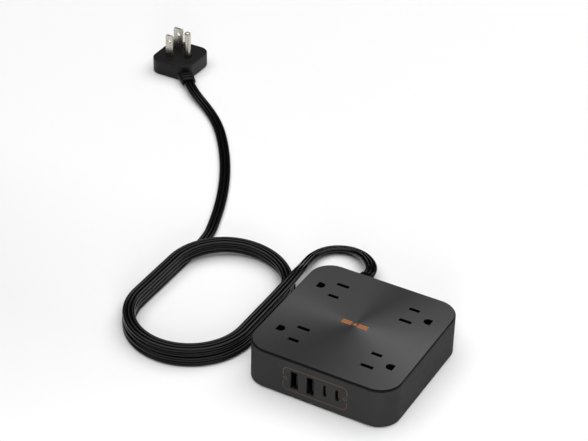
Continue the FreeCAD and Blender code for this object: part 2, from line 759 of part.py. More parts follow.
def make_port_marks():
    """A small ring in each break of the trim."""
    marks = []
    for side in SIDES:
        centre = Vector(side * (WINDOW[0] / 2 - RING_INSET), FRONT_Y, PORT_Z)
        outer, inner = [Part.makeCylinder(r, TRIM_DEPTH, centre, Vector(0, 1, 0)) for r in RING_R]
        marks.append(outer.cut(inner))
    return group(marks)


def make_port_shell(x, z, size):
    """One port's drawn metal shell, open at the front and closed at the back."""
    w, h, length = size
    y0 = FRONT_Y + PORT_LIP
    y1 = y0 + length
    outer = front_prism(x, z, w, h, port_corner(size), y0, y1)
    inner = front_prism(
        x, z, w - 2 * SHEET_T, h - 2 * SHEET_T, port_corner(size, SHEET_T), y0 - 1, y1 - SHEET_T
    )
    return outer.cut(inner)


def make_tongue(x, z, shell_l, root, tongue, start):
    """The plastic tongue of a port and the block it grows from. The tongue starts behind the shell's mouth."""
    front_y = FRONT_Y + PORT_LIP
    back_y = front_y + shell_l - SHEET_T
    root_w, root_h = root
    left, right, height = tongue
    block = centred_box(x, back_y - TONGUE_ROOT_L / 2, root_w, TONGUE_ROOT_L, z - root_h / 2, z + root_h / 2)
    plate = box(x + left, x + right, front_y + start, back_y - TONGUE_END, z - height / 2, z + height / 2)
    return fuse([block, plate])


def make_usb_c_stand():
    """The plastic stand that lifts both USB-C shells to the height of the panel."""
    x0, x1 = USB_C_X[0] - STAND_MARGIN, USB_C_X[1] + STAND_MARGIN
    y0 = FRONT_Y + PANEL_BACK
    y1 = FRONT_Y + PORT_LIP + USB_C_SHELL[2]
    stand = box(x0, x1, y0, y1, USB_BOARD_TOP_Z, STAND_TOP_Z)
    return cut_all(stand, [port_pocket(x, USB_C_SHELL_Z, USB_C_SHELL, y1 + 1) for x in USB_C_X])


# ---------------------------------------------------------------- electronics


def disc_on_edge(x, y, z0, r, t):
    """A round component that stands on its rim, facing Y."""
    return Part.makeCylinder(r, t, Vector(x, y - t / 2, z0 + r), Vector(0, 1, 0))


def component(block, board_z):
    """A plain block that stands on a board."""
    x, y, w, d, h = block
    return centred_box(x, y, w, d, board_z, board_z + h)


def make_usb_supply():
    """The USB supply's board and its components, each standing on the board."""
    z = USB_BOARD_TOP_Z
    x, y = TRANSFORMER
    core_w, core_d, core_h = CORE_SIZE
    winding_w, winding_d, winding_h = WINDING_SIZE
    winding_z = z + CORE_LIMB
    front_y = FRONT_Y + PANEL_BACK
    parts["usb_board"] = box(-BOARD_HALF_W, BOARD_HALF_W, front_y, USB_BOARD_REAR_Y, z - BOARD_T, z)
    core = centred_box(x, y, core_w, core_d, z, z + core_h)
    window = centred_box(x, y, winding_w, 2 * core_d, winding_z, winding_z + winding_h)
    parts["transformer_core"] = core.cut(window)
    parts["transformer_winding"] = centred_box(x, y, winding_w, winding_d, winding_z, winding_z + winding_h)
    x, y, r, h = USB_CAPACITOR
    parts["usb_capacitor"] = cylinder(x, y, z, z + h, r)
    parts["usb_controller"] = component(USB_CONTROLLER, z)
    parts["usb_c_stand"] = make_usb_c_stand()


def make_surge_stage():
    """The surge board, a varistor for each pair of wires, and the blocks beside them."""
    z = SURGE_BOARD_TOP_Z
    y0, y1 = SURGE_BOARD_Y
    leg_w, leg_d, leg_h = VARISTOR_LEG
    parts["surge_board"] = box(-BOARD_HALF_W, BOARD_HALF_W, y0, y1, z - BOARD_T, z)
    for pair, x in VARISTORS.items():
        leg = centred_box(x, VARISTOR_Y, leg_w, leg_d, z, z + leg_h)
        disc = disc_on_edge(x, VARISTOR_Y, z + VARISTOR_LIFT, VARISTOR_R, VARISTOR_T)
        parts["varistor_" + pair] = fuse([disc, leg])
    for name, block in SURGE_BLOCKS.items():
        parts[name] = component(block, z)


def make_wires():
    """Cord cores to the terminal, links from the surge board to the bars, and the USB board's supply."""
    start_y = INSIDE - RELIEF_FLANGE_T
    for name, side in (("neutral", 1), ("ground", 0), ("line", -1)):
        x, y = EXIT_X + side * CORE_PITCH, CORE_TURN_Y[name]
        points = [(x, start_y, EXIT_Z), (x, y, EXIT_Z), (CORE_END_X, y, EXIT_Z)]
        parts["cord_core_" + name] = round_wire(points, CORE_R)
    top = WIRE_TOP_Z
    ends = {
        "line": (-LINK_X, LINE_CROSS_Y, LOW_BAR_Z),
        "neutral": (0.0, 0.0, HIGH_BAR_Z),
        "ground": (LINK_X, GROUND_CROSS_Y, LOW_BAR_Z),
    }
    for name, (x, y, z) in ends.items():
        rise = [(x, LINK_START_Y, SURGE_BOARD_TOP_Z), (x, LINK_START_Y, top)]
        points = rise + [(x, y, top), (x, y, z + BRASS_T)]
        parts["bar_link_" + name] = round_wire(points, LINK_R)
    supplies = []
    for x, y, z in ((-SUPPLY_X, LINE_CROSS_Y, LOW_BAR_Z), (SUPPLY_X, 0.0, HIGH_BAR_Z)):
        points = [(x, y, z + BRASS_T), (x, y, top), (x, SUPPLY_END_Y, top), (x, SUPPLY_END_Y, USB_BOARD_TOP_Z)]
        supplies.append(round_wire(points, SUPPLY_R))
    parts["usb_supply_wires"] = group(supplies)


# ---------------------------------------------------------------- cord ends and plug


def tapered_prism(root, tip, length):
    """A rounded bar along +Y from the origin that tapers from one section to another."""
    wires = []
    for (w, h), y in ((root, 0.0), (tip, length)):
        wire = rounded_wire(w, h, h / 2 - 0.2)
        wire.rotate(ORIGIN, Vector(1, 0, 0), 90)
        wire.translate(Vector(0, y, 0))
        wires.append(wire)
    return Part.makeLoft(wires, True, True)


def groove_cutter(x, z, y, half, web, web_r):
    """What a groove round a strain relief removes: all but the cord and a web that much wider and thicker."""
    wide = front_prism(x, z, 4 * CORD_W, 4 * CORD_W, 1.0, y - half, y + half)
    kept = front_prism(x, z, CORD_W + web, CORD_T + web, web_r, y - 2 * half, y + 2 * half)
    return wide.cut(kept)


def make_cord_relief():
    """The moulded strain relief in the back wall: inner flange, neck, collar and a grooved taper."""
    length = RELIEF_END_Y - HALF
    taper = tapered_prism(RELIEF_ROOT, RELIEF_TIP, length)
    taper.translate(Vector(EXIT_X, HALF, EXIT_Z))
    inner_y = INSIDE - RELIEF_FLANGE_T
    neck = front_prism(EXIT_X, EXIT_Z, *RELIEF_NECK, RELIEF_NECK_R, inner_y, HALF)
    flange = front_prism(EXIT_X, EXIT_Z, *RELIEF_FLANGE, inner_y, INSIDE)
    relief = fuse([taper, neck, flange])
    for y in RELIEF_GROOVES:
        relief = relief.cut(groove_cutter(EXIT_X, EXIT_Z, y, RELIEF_GROOVE_HALF, RELIEF_WEB, RELIEF_WEB_R))
    return relief


def plug_outline(z0, z1):
    """The plug's rounded square between two heights."""
    return rounded_prism(PLUG_X, PLUG_Y, PLUG_W, PLUG_D, PLUG_CORNER_R, z0, z1)


def blade(y, w):
    """One flat blade, rounded at its tip corners, with its root in the plug."""
    x = PLUG_X + BLADE_MID_X
    z0, z1 = PLUG_T - BLADE_ROOT, PLUG_T + BLADE_L
    solid = box(x - w / 2, x + w / 2, PLUG_Y + y - BLADE_T / 2, PLUG_Y + y + BLADE_T / 2, z0, z1)
    tips = [e for e in solid.Edges if e.BoundBox.ZMin > z1 - 0.01 and e.BoundBox.YLength > 1.0]
    solid = solid.makeFillet(BLADE_TIP_R, tips)
    start = Vector(x, PLUG_Y + y - BLADE_T, z1 - BLADE_HOLE_DROP)
    return solid.cut(Part.makeCylinder(BLADE_HOLE_R, 2 * BLADE_T, start, Vector(0, 1, 0)))


def make_plug():
    """Flat plug: moulded body, prong-side cap, two blades, earth pin and the cord's short stub."""
    parts["plug_line_blade"] = blade(-BLADE_SPACING / 2, LINE_BLADE_W)
    parts["plug_neutral_blade"] = blade(BLADE_SPACING / 2, NEUTRAL_BLADE_W)
    pin_x = PLUG_X + BLADE_MID_X + PIN_OFFSET
    root_z = PLUG_T - PIN_ROOT_DEPTH
    pin = cylinder(pin_x, PLUG_Y, PLUG_T - BLADE_ROOT, PLUG_T + GROUND_PIN_L, GROUND_PIN_R)
    tip = [e for e in pin.Edges if e.BoundBox.ZMin > PLUG_T + GROUND_PIN_L - 0.01]
    root = cylinder(pin_x, PLUG_Y, PLUG_T - BLADE_ROOT, root_z, PIN_ROOT_R)
    cone = Part.makeCone(PIN_ROOT_R, GROUND_PIN_R, PIN_CONE_H, Vector(pin_x, PLUG_Y, root_z))
    parts["plug_ground_pin"] = fuse([pin.makeFillet(PIN_TIP_R, tip), root, cone])
    pin_hole = cylinder(pin_x, PLUG_Y, PLUG_T - BLADE_ROOT, PLUG_T + 1, PIN_ROOT_R)
    prongs = [parts["plug_line_blade"], parts["plug_neutral_blade"], pin_hole]

    cap_z = PLUG_T - PLUG_CAP_T
    cap = plug_outline(cap_z, PLUG_T)
    cap = cap.makeChamfer(PLUG_CAP_CHAMFER, [e for e in cap.Edges if e.BoundBox.ZMin > PLUG_T - 0.01])
    parts["plug_cap"] = cut_all(cap, prongs)

    body = plug_outline(0, cap_z)
    body = body.makeFillet(PLUG_EDGE_R, [e for e in body.Edges if e.BoundBox.ZMax < 0.01])
    panel_w, panel_d = PLUG_W - 2 * PANEL_MARGIN[0], PLUG_D - 2 * PANEL_MARGIN[1]
    panel = rounded_prism(PLUG_X, PLUG_Y, panel_w, panel_d, PANEL_R, -1, PANEL_DEPTH)

    stub = tapered_prism(STUB_ROOT, STUB_TIP, ROUND_CORNER)
    for from_tip in STUB_GROOVES:
        stub = stub.cut(groove_cutter(0, 0, ROUND_CORNER - from_tip, STUB_GROOVE_HALF, STUB_WEB, STUB_WEB_R))
    stub.rotate(ORIGIN, Z_AXIS, PLUG_CORD_DEG - 90)
    corner = Vector(PLUG_X + PLUG_W / 2 - PLUG_CORNER_R, PLUG_Y - PLUG_D / 2 + PLUG_CORNER_R, PLUG_CORD_Z)
    stub.translate(corner)
    parts["plug_strain_relief"] = stub.cut(plug_outline(0, PLUG_T))
    parts["plug_body"] = cut_all(body, [panel, *prongs])


# ---------------------------------------------------------------- assembly

parts["base_shell"] = make_base_shell()
parts["top_cover"] = make_top_cover()
parts["cover_mark"] = make_cover_mark()
parts["housing_screws"] = make_screws()
parts["rubber_feet"] = make_feet()

for place, (side, row) in OUTLETS.items():
    parts["outlet_block_" + place] = make_outlet_block(side, row)
parts["neutral_bus_bar"] = make_neutral_bar()
parts["line_bus_bar"] = make_line_bar()
parts["ground_bus_bar"] = make_ground_bar()

parts["port_panel"] = make_port_panel()
parts["port_trim"] = make_port_trim()
parts["port_marks"] = make_port_marks()
for which, x in zip(("left", "right"), USB_A_X):
    parts["usb_a_shell_" + which] = make_port_shell(x, PORT_Z, USB_A_SHELL)
    parts["usb_a_tongue_" + which] = make_tongue(
        x, PORT_Z, USB_A_SHELL[2], USB_A_ROOT, USB_A_TONGUE, USB_A_TONGUE_START
    )
for which, x in zip(("left", "right"), USB_C_X):
    parts["usb_c_shell_" + which] = make_port_shell(x, USB_C_SHELL_Z, USB_C_SHELL)
    parts["usb_c_tongue_" + which] = make_tongue(
        x, USB_C_SHELL_Z, USB_C_SHELL[2], USB_C_ROOT, USB_C_TONGUE, USB_C_TONGUE_START
    )

make_usb_supply()
make_surge_stage()
make_wires()

parts["cord_strain_relief"] = make_cord_relief()
parts["power_cord_lead"] = flat_cord("power_cord_lead", BOX_LEAD)
parts["power_cord_coil"] = make_coil()
parts["power_cord_tail"] = flat_cord("power_cord_tail", WALL_LEAD)
make_plug()

os.makedirs("parts", exist_ok=True)
for name, shape in parts.items():
    shape.exportStep("parts/" + name + ".step")
    if not shape.isValid():
        print("invalid shape:", name)
print(len(parts), "nodes")
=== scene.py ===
"""Looks of the desktop surge protector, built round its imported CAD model. Lengths are in metres.

The frame's origin is the centre of the body's footprint, +Z is up, the USB ports face -Y and the coil lies
towards -X. The camera and the cord come first, then the body, the ports, the plug and the parts inside.
"""

import math

import bmesh
import bpy
from mathutils import Matrix, Vector


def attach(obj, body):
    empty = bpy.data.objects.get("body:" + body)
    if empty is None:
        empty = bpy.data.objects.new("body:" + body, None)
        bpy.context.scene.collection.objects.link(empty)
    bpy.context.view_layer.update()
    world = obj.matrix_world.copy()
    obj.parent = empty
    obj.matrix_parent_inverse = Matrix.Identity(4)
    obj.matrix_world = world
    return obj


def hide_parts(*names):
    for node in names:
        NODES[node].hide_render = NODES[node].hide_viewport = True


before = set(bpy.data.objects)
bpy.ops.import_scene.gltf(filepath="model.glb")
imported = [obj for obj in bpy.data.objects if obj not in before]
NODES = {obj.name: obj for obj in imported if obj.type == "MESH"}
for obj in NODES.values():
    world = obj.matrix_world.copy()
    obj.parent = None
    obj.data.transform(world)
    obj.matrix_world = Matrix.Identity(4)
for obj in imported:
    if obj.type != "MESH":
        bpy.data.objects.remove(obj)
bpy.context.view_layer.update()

# ---------------------------------------------------------------- camera

CAMERA_AZIMUTH = math.radians(28.24)
CAMERA_ELEVATION = math.radians(34.16)
CAMERA_ROLL = math.radians(1.53)
CAMERA_DISTANCE = 1.25098
CAMERA_TARGET = Vector((-0.09409, 0.09522, 0.015))
CAMERA_LENS = 116.72
SENSOR_WIDTH = 36.0


def make_camera():
    """The camera at the photograph's viewing angle."""
    az, el = CAMERA_AZIMUTH, CAMERA_ELEVATION
    back = Vector((math.sin(az) * math.cos(el), -math.cos(az) * math.cos(el), math.sin(el)))
    right = Vector((math.cos(az), math.sin(az), 0))
    up = back.cross(right)
    tilted_right = right * math.cos(CAMERA_ROLL) + up * math.sin(CAMERA_ROLL)
    tilted_up = up * math.cos(CAMERA_ROLL) - right * math.sin(CAMERA_ROLL)
    data = bpy.data.cameras.new("camera")
    data.lens = CAMERA_LENS
    data.sensor_width = SENSOR_WIDTH
    camera = bpy.data.objects.new("camera", data)
    turn = Matrix((tilted_right, tilted_up, back)).transposed()
    camera.matrix_world = Matrix.Translation(CAMERA_TARGET + back * CAMERA_DISTANCE) @ turn.to_4x4()
    bpy.context.scene.collection.objects.link(camera)
    bpy.context.scene.camera = camera


make_camera()

# ---------------------------------------------------------------- materials

# The noise's roughness, the part of its range that mostly shows, and how much finer the gloss's patches are
NOISE_ROUGHNESS = 0.55
NOISE_RANGE = (0.3, 0.7)
GLOSS_FINER = 4


class Material:
    """A node material with a Principled shader, and short calls that add nodes to it."""

    def __init__(self, name, **values):
        self.material = bpy.data.materials.new(name)
        self.material.use_nodes = True
        self.tree = self.material.node_tree
        self.shader = self.tree.nodes["Principled BSDF"]
        for socket, value in values.items():
            self.shader.inputs[socket.replace("_", " ")].default_value = value

    def node(self, kind, **values):
        """A node whose settings and sockets take the values given."""
        made = self.tree.nodes.new("ShaderNode" + kind)
        for key, value in values.items():
            if hasattr(made, key):
                setattr(made, key, value)
            else:
                made.inputs[key].default_value = value
        return made

    def link(self, source, target):
        self.tree.links.new(source, self.shader.inputs[target])

    def place(self):
        """Object coordinates, in metres."""
        return self.node("TexCoord").outputs["Object"]

    def noise(self, scale, detail=3.0):
        """Noise with about scale bumps to the metre."""
        made = self.node("TexNoise", Scale=scale, Detail=detail, Roughness=NOISE_ROUGHNESS)
        self.tree.links.new(self.place(), made.inputs["Vector"])
        return made.outputs["Fac"]

    def spread(self, source, low, high, start=NOISE_RANGE[0], end=NOISE_RANGE[1]):
        """The source's range from start to end, spread over low to high."""
        made = self.node("MapRange")
        for key, value in zip(("From Min", "From Max", "To Min", "To Max"), (start, end, low, high)):
            made.inputs[key].default_value = value
        self.tree.links.new(source, made.inputs["Value"])
        return made.outputs["Result"]

    def mixed(self, factor, first, second):
        """A colour between two, by a factor. Each is a colour or the socket of one."""
        made = self.node("Mix", data_type="RGBA")
        for socket, value in ((made.inputs[6], first), (made.inputs[7], second)):
            if isinstance(value, bpy.types.NodeSocket):
                self.tree.links.new(value, socket)
            else:
                socket.default_value = (*value, 1.0)
        self.tree.links.new(factor, made.inputs[0])
        return made.outputs[2]

    def number(self, operation, *values):
        """A number worked out from others. Each is a number or a socket."""
        made = self.node("Math", operation=operation)
        for socket, value in zip(made.inputs, values):
            if isinstance(value, bpy.types.NodeSocket):
                self.tree.links.new(value, socket)
            else:
                socket.default_value = value
        return made.outputs[0]

    def bump(self, height, distance, strength=1.0):
        """Small relief, as deep as distance, by a height from 0 to 1."""
        made = self.node("Bump", Strength=strength, Distance=distance)
        self.tree.links.new(height, made.inputs["Height"])
        self.link(made.outputs["Normal"], "Normal")


def grained(name, dark, light, rough, grain, depth, patch=60.0, **values):
    """Moulded or cast stuff: two close colours in soft patches, uneven gloss and a fine grain."""
    made = Material(name, **values)
    patches = made.noise(patch, 2.0)
    made.link(made.mixed(made.spread(patches, 0.0, 1.0), dark, light), "Base Color")
    made.link(made.spread(made.noise(patch * GLOSS_FINER), *rough), "Roughness")
    made.bump(made.noise(grain, 2.0), depth)
    return made.material


def grey(value):
    return (value, value, value)


# The cover's plain tone, and its painted sheen: sectors of painted highlight and painted shade, with where
# each points, in degrees anticlockwise from +X, what it adds to the tone there, and how narrow it is
COVER_TONE = 0.037
PAINTED_SHEEN_SECTORS = {
    "right": (352, 0.036, 6),
    "left": (176, 0.016, 20),
    "front": (248, -0.031, 3),
    "rear": (76, -0.023, 16),
}
# The slight blue tint of the painted sheen
PAINTED_SHEEN_TINT = (1.0, 1.0, 1.03)
# Painted shade on every face of the cover that doesn't point up: the rounded edge and the slot walls
PAINTED_EDGE_SHADE = 0.002
RINGS_PER_METRE = 2600.0
RING_CONTRAST = (0.94, 1.06)
RING_DEPTH = 4e-6
FLAT_NORMAL_Z = (0.9, 0.99)
COVER_SHINE = (0.1, 0.33)
COVER_ROUGHNESS = (0.40, 0.46)
COVER_PATCHES_PER_METRE = 90.0
RING_STRENGTH = 0.5


def circular_grain(made, across):
    """Noise that depends only on the distance from the middle, as fine turned rings."""
    radius = made.node("VectorMath", operation="LENGTH")
    made.tree.links.new(across, radius.inputs[0])
    rings = made.node("TexNoise", noise_dimensions="1D", Scale=RINGS_PER_METRE, Detail=2.0)
    made.tree.links.new(radius.outputs["Value"], rings.inputs["W"])
    return rings.outputs["Fac"]


def painted_sheen(made, across):
    """The cover's tone with painted highlight and shade in soft sectors round the middle, each strongest
    along its own direction.
    """
    outward = made.node("VectorMath", operation="NORMALIZE")
    made.tree.links.new(across, outward.inputs[0])
    tone = COVER_TONE
    for degrees, strength, sharpness in PAINTED_SHEEN_SECTORS.values():
        angle = math.radians(degrees)
        along = made.node("VectorMath", operation="DOT_PRODUCT")
        made.tree.links.new(outward.outputs[0], along.inputs[0])
        along.inputs[1].default_value = (math.cos(angle), math.sin(angle), 0)
        ahead = made.number("MAXIMUM", along.outputs["Value"], 0.0)
        sheen_sector = made.number("POWER", ahead, sharpness)
        tone = made.number("MULTIPLY_ADD", sheen_sector, strength, tone)
    return tone


def make_cover_spun_and_sheen():
    """The cover's spun look with painted sheen on its flat top, and painted shade, with less shine, on the
    rounded edge and slot walls.
    """
    made = Material("cover_spun_and_sheen", Anisotropic=0.5)
    flat = made.node("VectorMath", operation="MULTIPLY")
    made.tree.links.new(made.place(), flat.inputs[0])
    flat.inputs[1].default_value = (1, 1, 0)
    across = flat.outputs[0]
    rings = circular_grain(made, across)
    # Painted sheen: sectors of painted highlight and painted shade, times the fine turned rings
    shade = made.node("VectorMath", operation="SCALE")
    shade.inputs[0].default_value = PAINTED_SHEEN_TINT
    contrast = made.spread(rings, *RING_CONTRAST)
    made.tree.links.new(made.number("MULTIPLY", painted_sheen(made, across), contrast), shade.inputs["Scale"])
    # How nearly each face points straight up, which keeps the painted edge shade off the flat top
    facing = made.node("SeparateXYZ")
    made.tree.links.new(made.node("TexCoord").outputs["Normal"], facing.inputs[0])
    flatness = made.spread(facing.outputs["Z"], 0.0, 1.0, *FLAT_NORMAL_Z)
    made.link(made.mixed(flatness, grey(PAINTED_EDGE_SHADE), shade.outputs[0]), "Base Color")
    made.link(made.spread(flatness, *COVER_SHINE, 0.0, 1.0), "Specular IOR Level")
    made.link(made.spread(made.noise(COVER_PATCHES_PER_METRE), *COVER_ROUGHNESS), "Roughness")
    made.bump(rings, RING_DEPTH, RING_STRENGTH)
    made.link(made.node("Tangent", direction_type="RADIAL", axis="Z").outputs[0], "Tangent")
    return made.material


MATERIALS = {
    "shell": grained("shell_plastic", grey(0.018), grey(0.021), (0.70, 0.76), 2400.0, 1.2e-5,
                     Specular_IOR_Level=0.25),
    "cover": make_cover_spun_and_sheen(),
    "ink": grained("orange_ink", (0.43, 0.125, 0.014), (0.49, 0.145, 0.018), (0.42, 0.5), 3000.0, 4e-6,
                   Specular_IOR_Level=0.3),
    "copper": grained("copper_trim", (0.118, 0.065, 0.043), (0.14, 0.078, 0.053), (0.38, 0.48), 3000.0, 4e-6,
                      Metallic=0.7),
    "mouth": grained("port_black", grey(0.004), grey(0.007), (0.4, 0.5), 2500.0, 6e-6),
    "steel": grained("port_steel", grey(0.10), grey(0.14), (0.35, 0.45), 4000.0, 3e-6, Metallic=1.0),
    "usb_a": grained("tongue_grey", grey(0.004), grey(0.006), (0.4, 0.55), 2500.0, 6e-6,
                     Specular_IOR_Level=0.2),
    "usb_c": grained("tongue_orange", (0.05, 0.019, 0.011), (0.065, 0.024, 0.014), (0.4, 0.5), 2500.0, 6e-6,
                     Specular_IOR_Level=0.3),
    "nickel": grained("prong_nickel", (0.50, 0.48, 0.43), (0.58, 0.55, 0.49), (0.22, 0.34), 900.0, 3e-6,
                      Metallic=1.0),
    "rubber": grained("foot_rubber", grey(0.01), grey(0.015), (0.6, 0.75), 2600.0, 1.5e-5),
    "cord": grained("cord_jacket", grey(0.001), grey(0.0015), (0.2, 0.26), 2000.0, 3e-6, patch=150.0,
                    Specular_IOR_Level=0.26),
    # Painted shade in the grooves between the cord's cores: darker and duller than the jacket
    "groove": grained("cord_groove_shade", grey(0.0004), grey(0.0006), (0.7, 0.8), 2000.0, 3e-6,
                      Specular_IOR_Level=0.03),
    "plug": grained("plug_plastic", grey(0.002), grey(0.003), (0.42, 0.52), 2200.0, 1.4e-5, patch=120.0,
                    Specular_IOR_Level=0.25),
    "brass": grained("contact_brass", (0.62, 0.42, 0.16), (0.7, 0.5, 0.2), (0.25, 0.4), 700.0, 4e-6,
                     Metallic=1.0),
    "block": grained("contact_block", grey(0.001), grey(0.002), (0.6, 0.7), 1800.0, 1.2e-5,
                     Specular_IOR_Level=0.1),
    "board": grained("board_green", (0.015, 0.11, 0.04), (0.02, 0.15, 0.055), (0.3, 0.42), 500.0, 8e-6),
    "blue": grained("coated_blue", (0.02, 0.06, 0.25), (0.03, 0.08, 0.32), (0.2, 0.35), 900.0, 1e-5),
    "ferrite": grained("ferrite_grey", grey(0.05), grey(0.07), (0.5, 0.65), 1500.0, 1.5e-5),
    "can": grained("capacitor_can", grey(0.62), grey(0.7), (0.25, 0.4), 1200.0, 4e-6, Metallic=0.9),
}

# ---------------------------------------------------------------- pieces


def add_object(name, bm, material):
    """A new mesh object with one material. The caller says what it rides on."""
    mesh = bpy.data.meshes.new(name)
    bm.to_mesh(mesh)
    bm.free()
    mesh.materials.append(MATERIALS[material])
    piece = bpy.data.objects.new(name, mesh)
    bpy.context.scene.collection.objects.link(piece)
    return piece


def declare(piece, slot, *nodes):
    """A finished piece rides on the one body and stands for its CAD nodes."""
    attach(piece, "root")
    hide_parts(*nodes)


WELD_DISTANCE = 1e-6
FLAT_ANGLE = math.radians(0.5)
SHARP_ANGLE = math.radians(32)
EDGE_SEGMENTS = 3
LARGE_FACE_WEIGHT = 100


def rounded(node, material, slot, radius):
    """A copy of a CAD node with its sharp edges rounded, which stands for the node."""
    bm = bmesh.new()
    bm.from_mesh(NODES[node].data)
    bmesh.ops.remove_doubles(bm, verts=bm.verts, dist=WELD_DISTANCE)
    bmesh.ops.dissolve_limit(bm, angle_limit=FLAT_ANGLE, verts=bm.verts, edges=bm.edges)
    for face in bm.faces:
        face.smooth = True
    piece = add_object(node + "_shown", bm, material)
    bevel = piece.modifiers.new("edges", "BEVEL")
    bevel.width = radius
    bevel.segments = EDGE_SEGMENTS
    bevel.limit_method = "ANGLE"
    bevel.angle_limit = SHARP_ANGLE
    bevel.use_clamp_overlap = True
    flat = piece.modifiers.new("flat faces", "WEIGHTED_NORMAL")
    flat.mode = "FACE_AREA"
    flat.weight = LARGE_FACE_WEIGHT
    declare(piece, slot, node)
    return piece


# ---------------------------------------------------------------- cord

CORD_T = 0.00305
COIL_LAYERS = 4
COIL_LEFT_X = -0.14225
COIL_RIGHT_X = -0.066
COIL_FRONT_Y = -0.0558
COIL_REAR_Y = 0.0629
COIL_LEAN_RIGHT = 0.0007
COIL_LEAN_FRONT = 0.00045
COIL_LEAN_REAR = 0.0006
COIL_STEP_X = (-0.122, -0.076)
COIL_WAVER = (0.0, 0.00035, -0.0001, 0.0002)
TOP_LAYER_Z = (COIL_LAYERS - 0.5) * CORD_T
STEPS_PER_END = 9

BOX_LEAD = [
    (-0.0275, 0.072, 0.0095),
    (-0.0275, 0.078, 0.0095),
    (-0.0336, 0.088, 0.0077),
    (-0.0434, 0.097, 0.0052),
    (-0.0553, 0.0998, 0.0035),
    (-0.0663, 0.0945, 0.0031),
    (-0.0716, 0.0825, 0.0037),
    (-0.0696, 0.0665, 0.0066),
    (-0.0666, 0.0535, 0.0109),
]
WALL_LEAD = [
    (-0.14225, 0.0655, 0.001525),
    (-0.1482, 0.084, 0.001525),
    (-0.156, 0.1049, 0.001525),
    (-0.167, 0.1285, 0.001525),
    (-0.1795, 0.1505, 0.001525),
    (-0.1945, 0.1725, 0.001525),
    (-0.2105, 0.192, 0.001525),
    (-0.2275, 0.2065, 0.002),
]


def end_shape(layer):
    """Half the width and the middle of the turn at this layer, counted from the top."""
    end_r = (COIL_RIGHT_X + COIL_LEAN_RIGHT * layer - COIL_LEFT_X) / 2
    return end_r, COIL_LEFT_X + end_r


def coil_points():
    """The coil's turns from the top one down. Each is a little wider, and steps down across its rear end."""
    step = math.pi / STEPS_PER_END
    points = []
    for layer in range(COIL_LAYERS):
        z = TOP_LAYER_Z - layer * CORD_T
        end_r, middle_x = end_shape(layer)
        reach = end_r / math.cos(step / 2) - COIL_WAVER[layer]
        lead_in = end_r * math.tan(step / 2)
        front_y = COIL_FRONT_Y - COIL_LEAN_FRONT * layer + end_r
        rear_y = COIL_REAR_Y + COIL_LEAN_REAR * layer - end_r
        sides = (rear_y - lead_in, (front_y + rear_y) / 2, front_y + lead_in)
        near, far = middle_x + end_r, middle_x - end_r
        points += [(near, y, z) for y in sides]
        for k in range(STEPS_PER_END):
            angle = -(k + 0.5) * step
            points.append((middle_x + reach * math.cos(angle), front_y + reach * math.sin(angle), z))
        points += [(far, y, z) for y in reversed(sides)]
        if layer < COIL_LAYERS - 1:
            points += rear_points(layer, z, step)
    return points


def rear_points(layer, z, step):
    """The rear end of one turn, which comes round one layer lower."""
    end_r, middle_x = end_shape(layer + 1)
    reach = end_r / math.cos(step / 2) - COIL_WAVER[layer]
    start, stop = COIL_STEP_X
    points = []
    for k in range(STEPS_PER_END):
        angle = math.pi - (k + 0.5) * step
        x = middle_x + reach * math.cos(angle)
        done = min(1.0, max(0.0, (x - start) / (stop - start)))
        middle_y = COIL_REAR_Y + COIL_LEAN_REAR * (layer + done) - end_r
        points.append((x, middle_y + reach * math.sin(angle), z - CORD_T * done))
    return points


STEPS_PER_SPAN = 8
LINE_ORDER = 3


def line_of(points):
    """Points along the smooth line that has these control points."""
    curve = bpy.data.curves.new("route", "CURVE")
    curve.dimensions = "3D"
    curve.resolution_u = STEPS_PER_SPAN
    spline = curve.splines.new("NURBS")
    spline.points.add(len(points) - 1)
    for control, place in zip(spline.points, points):
        control.co = (*place, 1.0)
    spline.order_u = LINE_ORDER
    spline.use_endpoint_u = True
    route = bpy.data.objects.new("route", curve)
    bpy.context.scene.collection.objects.link(route)
    bpy.context.view_layer.update()
    shown = route.evaluated_get(bpy.context.evaluated_depsgraph_get())
    mesh = bpy.data.meshes.new_from_object(shown)
    line = [v.co.copy() for v in mesh.vertices]
    bpy.data.objects.remove(route)
    bpy.data.curves.remove(curve)
    bpy.data.meshes.remove(mesh)
    return line


CORE_R = 0.0015
CORE_SPACING = 0.0024
CORE_STEPS = 8
GROOVE_BELOW = 0.00132
LOOP_TILT = math.radians(17)
LOOP_LENGTH = 0.116
LOOP_EASE = 0.034


def ribbed_section():
    """The flat cord's outline, across and up: three round cores side by side under one jacket."""
    groove = math.asin(CORE_SPACING / 2 / CORE_R)
    half = []
    cores = ((0.0, -groove, CORE_STEPS), (-CORE_SPACING, -math.pi - groove, 2 * CORE_STEPS))
    for centre, stop, steps in cores:
        for k in range(steps):
            angle = groove + (stop - groove) * k / steps
            half.append((centre + CORE_R * math.sin(angle), CORE_R * math.cos(angle)))
    return half + [(-x, -z) for x, z in half]


def middles(outline):
    """The middle of each side of a closed outline."""
    return [((a[0] + b[0]) / 2, (a[1] + b[1]) / 2) for a, b in zip(outline, outline[1:] + outline[:1])]


def tilt_at(distance):
    """How far the free loop behind the body leans its outer side down, at this distance along the cord."""
    ease = min(1.0, max(0.0, distance / LOOP_EASE), max(0.0, (LOOP_LENGTH - distance) / LOOP_EASE))
    return LOOP_TILT * ease * ease * (3 - 2 * ease)


PLUG_CORD_HEADING = Vector((math.sqrt(0.5), -math.sqrt(0.5), 0))
PLUG_CORD_Z = 0.0044
PLUG_RUN = 0.013
PLUG_OVERLAP = 0.001
SAME_FACE = 1e-5


def plug_points():
    """The cord's last points: level with the plug's stub and in line with it."""
    stub = stub_end()
    return [stub + PLUG_CORD_HEADING * PLUG_RUN, stub - PLUG_CORD_HEADING * PLUG_OVERLAP]


